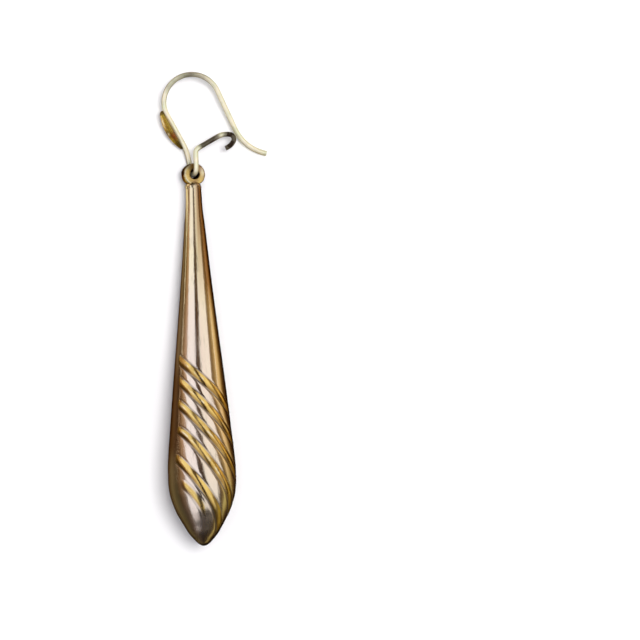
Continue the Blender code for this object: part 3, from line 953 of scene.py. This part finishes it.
def makeLeaf():
    deselectAll()
    bpy.ops.mesh.primitive_grid_add(x_subdivisions=leaf["stations"], y_subdivisions=leaf["across"], size=1.0)
    piece = startPiece("leafPlate")
    body = editMesh(piece)
    middle, along, outer = legFrame
    up = outer.cross(along)
    if up.z < 0:
        up.negate()
    back = wire["diameter"] / 2 - wire["leafSink"]
    rim, veins, dirt, patch = leaf["rim"], leaf["veins"], leaf["rimDirt"], leaf["patch"]
    ends, red = leaf["endTarnish"], leaf["redBand"]
    first, last = leaf["span"]
    recess, tarnish, rubbed, redness = [], [], [], []
    for vertex in body.verts:
        share, across = vertex.co.x + 0.5, vertex.co.y * 2
        outwards = abs(across)
        swell = math.sin(math.pi * (first + share * (last - first))) ** leaf["swell"]
        arch = (1 - outwards ** leaf["archPower"]) * (1 - leaf["ridge"] * outwards)
        raised = rim["height"] * bell(outwards, rim["across"], rim["width"]) * swell
        wave = abs(math.sin((share * veins["count"] + outwards * veins["slant"]) * math.pi)) ** veins["power"]
        vein = -veins["depth"] * wave * (1 - outwards) * (outwards > veins["fromRidge"])
        reach = back + leaf["edge"] + (leaf["depth"] - leaf["edge"]) * swell * arch + raised + vein
        # painted shade along the inside of the rim, and dirt in the engraved veins
        edgeDirt = dirt["share"] * bell(outwards, dirt["across"], dirt["width"])
        recess.append(min(1.0, edgeDirt - vein * leaf["veinDirt"]))
        blot = bell(share, *patch["along"]) * ramp(outwards, *patch["across"])
        tarnish.append(max(blot, ends["share"] * max(ramp(share, *ends["foot"]), ramp(share, *ends["top"]))))
        redness.append(bell(share, *red["along"]) * ramp(outwards, *red["across"]))
        rubs = [
            mark["share"] * bell(share, *mark["along"]) * bell(outwards, *mark["across"])
            for mark in (leaf["streak"], leaf["spot"])
        ]
        rubbed.append(min(1.0, sum(rubs)))
        place = middle + along * ((share - 0.5) * leaf["length"]) + outer * reach
        vertex.co = (place + up * (across * leaf["width"] / 2 * swell)) * mm
    bmesh.update_edit_mesh(piece.data)
    bpy.ops.mesh.select_all(action="SELECT")
    bpy.ops.mesh.normals_make_consistent(inside=False)
    bpy.ops.object.mode_set(mode="OBJECT")
    paintPoints(piece, recess=recess, tarnish=tarnish, rubbed=rubbed, redness=redness)
    if piece.data.polygons[len(piece.data.polygons) // 2].normal.dot(outer) < 0:
        editAll(piece)
        bpy.ops.mesh.flip_normals()
        bpy.ops.object.mode_set(mode="OBJECT")
    addModifier(piece, "SOLIDIFY", thickness=leaf["sheet"] * mm, offset=-1.0)
    addModifier(piece, "SUBSURF", levels=1, render_levels=1)
    finishPiece(piece, amberLeafGold, 50)
    return middle + along * (leaf["length"] / 2 - bead["inwards"]) + outer * (back + bead["height"])


def makeBead(place):
    deselectAll()
    bpy.ops.mesh.primitive_uv_sphere_add(
        segments=bead["sides"], ring_count=bead["rows"], radius=bead["radius"] * mm
    )
    piece = startPiece("leafBead")
    editAll(piece)
    bpy.ops.transform.resize(value=bead["stretch"])
    bpy.ops.transform.translate(value=place * mm)
    bpy.ops.object.mode_set(mode="OBJECT")
    paintPoints(piece, recess=0.5, tarnish=0.5, rubbed=0.0, redness=0.0)
    finishPiece(piece, amberLeafGold, 60)


beadPlace = makeLeaf()
makeBead(beadPlace)


# Studio: pale floor, two soft boxes overhead with a dim gap between them, walls, and a soft key and fill; in
# reflections the floor shows a painted shadow around the drop.
# Angles are in degrees from straight up, positive to the right.

studio = {
    "floor": (0.93, 0.93, 0.935),
    "floorSize": 6.0,  # metres
    "floorCuts": 4,
    "floorRoughness": 0.9,
    "floorSpecular": 0.1,
    "floorInMetal": (  # distance to the right of the belly's axis, colour; seen only in reflections, a painted shadow darkest near the drop
        (-45, (0.08, 0.06, 0.025)), (-25, (0.12, 0.09, 0.05)), (-12, (0.19, 0.16, 0.10)),
        (-8, (0.12, 0.08, 0.045)), (-5, (0.03, 0.02, 0.01)), (6, (0.012, 0.006, 0.002)),
        (10, (0.05, 0.022, 0.003)), (13, (0.10, 0.05, 0.006)), (17, (0.25, 0.17, 0.05)),
        (21, (0.40, 0.31, 0.13)), (30, (0.62, 0.52, 0.27)), (45, (0.70, 0.58, 0.33)),
    ),
    "floorReach": 50,
    "floorNarrowing": (-14.0, 17.0, 0.30),  # the same strips narrow towards the neck, down to this share
    "floorTip": (-12.0, -36.0, (0.60, 0.72, 0.54)),  # and darken towards the tip
    "floorByNeck": (0.90, 0.94, 0.80),  # left of the neck
    "neckAcross": (-1.2, -3.0),
    "neckAlong": ((13.0, 16.0), (19.0, 18.2)),  # where it begins, where it ends
    "floorByWire": (0.90, 0.90, 0.80),
    "wireStart": (20.8, 22.5),  # along the piece, where the floor by the wire begins
    "walls": (  # angle, colour seen in the metal
        (-100, (0.10, 0.06, 0.025)), (-94, (0.10, 0.06, 0.025)), (-86, (0.21, 0.13, 0.06)),
        (-78, (0.34, 0.24, 0.14)), (-72, (0.49, 0.36, 0.25)), (-60, (0.58, 0.45, 0.37)),
        (-54, (0.10, 0.08, 0.06)), (0, (0.09, 0.06, 0.042)), (56, (0.12, 0.09, 0.06)),
        (63, (0.34, 0.27, 0.18)), (72, (0.24, 0.17, 0.08)), (79, (0.42, 0.32, 0.16)),
        (92, (0.76, 0.65, 0.34)), (100, (0.76, 0.65, 0.34)),
    ),
    "roomEnds": (  # share of the way along the drop (tip, neck), share of the room's light there
        (-0.8, 0.16), (-0.3, 0.34), (0.0, 0.55), (0.16, 0.72), (0.34, 1.0), (0.6, 1.0), (0.9, 0.3),
    ),
    "ambient": (0.32, 0.31, 0.34),
    "backdrop": (0.90, 0.90, 0.91),
}


def addFloor():
    deselectAll()
    bpy.ops.mesh.primitive_plane_add(size=studio["floorSize"])
    floor = startPiece("floor")
    bpy.ops.object.mode_set(mode="EDIT")
    bpy.ops.mesh.subdivide(number_cuts=studio["floorCuts"])
    bpy.ops.object.mode_set(mode="OBJECT")
    material, nodes, links, shader = newMaterial("paleFloor")
    across, along = objectPlace(nodes, links)
    stops = [(place * mm, colour) for place, colour in studio["floorInMetal"]]
    low, high, least = studio["floorNarrowing"]
    width = fadeOver(nodes, links, along, (low, high), least, 1.0)
    scaled = maths(nodes, links, "DIVIDE", across, width)
    reach = studio["floorReach"] * mm
    reflected = colourRamp(nodes, links, scaled, -reach, reach, stops)
    low, high, tipShade = studio["floorTip"]
    byTip = fadeOver(nodes, links, along, (low, high))
    shade = mixColours(nodes, links, byTip, (1.0, 1.0, 1.0), tipShade)
    reflected = mixColours(nodes, links, 1.0, reflected, shade, "MULTIPLY")
    byNeck = fadeOver(nodes, links, across, studio["neckAcross"])
    for stretch in studio["neckAlong"]:
        byNeck = times(nodes, links, byNeck, fadeOver(nodes, links, along, stretch))
    reflected = mixColours(nodes, links, byNeck, reflected, studio["floorByNeck"])
    byWire = fadeOver(nodes, links, along, studio["wireStart"])
    reflected = mixColours(nodes, links, byWire, reflected, studio["floorByWire"])
    # painted reflection: glossy rays see the floor with its painted shadow, camera and light rays see it pale
    ray = nodes.new("ShaderNodeLightPath")
    colour = mixColours(nodes, links, ray.outputs["Is Glossy Ray"], studio["floor"], reflected)
    links.new(colour, shader.inputs["Base Color"])
    shader.inputs["Roughness"].default_value = studio["floorRoughness"]
    shader.inputs["Specular IOR Level"].default_value = studio["floorSpecular"]
    floor.data.materials.append(material)


def addWalls():
    world = bpy.data.worlds.new("studioWalls")
    bpy.context.scene.world = world
    world.use_nodes = True
    nodes, links = world.node_tree.nodes, world.node_tree.links
    place = nodes.new("ShaderNodeTexCoord")
    split = nodes.new("ShaderNodeSeparateXYZ")
    links.new(place.outputs["Generated"], split.inputs["Vector"])
    angle = maths(nodes, links, "ARCTAN2", split.outputs["X"], split.outputs["Z"])
    stops = [(math.radians(place), colour) for place, colour in studio["walls"]]
    walls = colourRamp(nodes, links, angle, -math.pi, math.pi, stops)
    ray = nodes.new("ShaderNodeLightPath")
    stops = [(place, (share, share, share)) for place, share in studio["roomEnds"]]
    dim = colourRamp(nodes, links, split.outputs["Y"], -1.0, 1.0, stops)
    room = mixColours(nodes, links, 1.0, walls, dim, "MULTIPLY")
    colour = mixColours(nodes, links, ray.outputs["Is Glossy Ray"], studio["ambient"], room)
    colour = mixColours(nodes, links, ray.outputs["Is Camera Ray"], colour, studio["backdrop"])
    links.new(colour, nodes["Background"].inputs["Color"])


# from and to angle, from and to along the drop, distance, brightness, colour, seen in metal, lights the floor
lamps = {
    "leftBox": ((-57, -14), (-50, 45), 400.0, 0.96, (1.0, 1.17, 1.58), True, False),
    "rightBox": ((9, 60), (-42, 45), 400.0, 0.93, (1.0, 1.14, 1.38), True, False),
    "key": ((3, 25), (-4, 16), 4000.0, 15.5, (1.0, 0.99, 0.98), False, True),
    "fill": ((-30, 58), (-20, 45), 4000.0, 0.85, (1.0, 1.0, 1.0), False, True),
}


def addLamps():
    for name, (across, along, away, brightness, colour, inMetal, onFloor) in lamps.items():
        distance = away * mm
        middle = math.radians(sum(across) / 2)
        half = math.radians(across[1] - across[0]) / 2
        low, high = (math.tan(math.radians(a)) * distance for a in along)
        width, length = 2 * math.tan(half) * distance, high - low
        place = (math.sin(middle) * distance, (low + high) / 2, math.cos(middle) * distance)
        deselectAll()
        bpy.ops.object.light_add(type="AREA", location=place, rotation=(0, middle, 0))
        lamp = bpy.context.object
        lamp.name = name
        lamp.data.shape = "RECTANGLE"
        lamp.data.size = width
        lamp.data.size_y = length
        lamp.data.energy = brightness * math.pi * width * length
        lamp.data.color = colour
        lamp.visible_camera = False
        lamp.visible_glossy = inMetal
        lamp.visible_diffuse = onFloor


addFloor()
addWalls()
addLamps()
bpy.context.scene.view_settings.view_transform = "Standard"
print("studio ready")
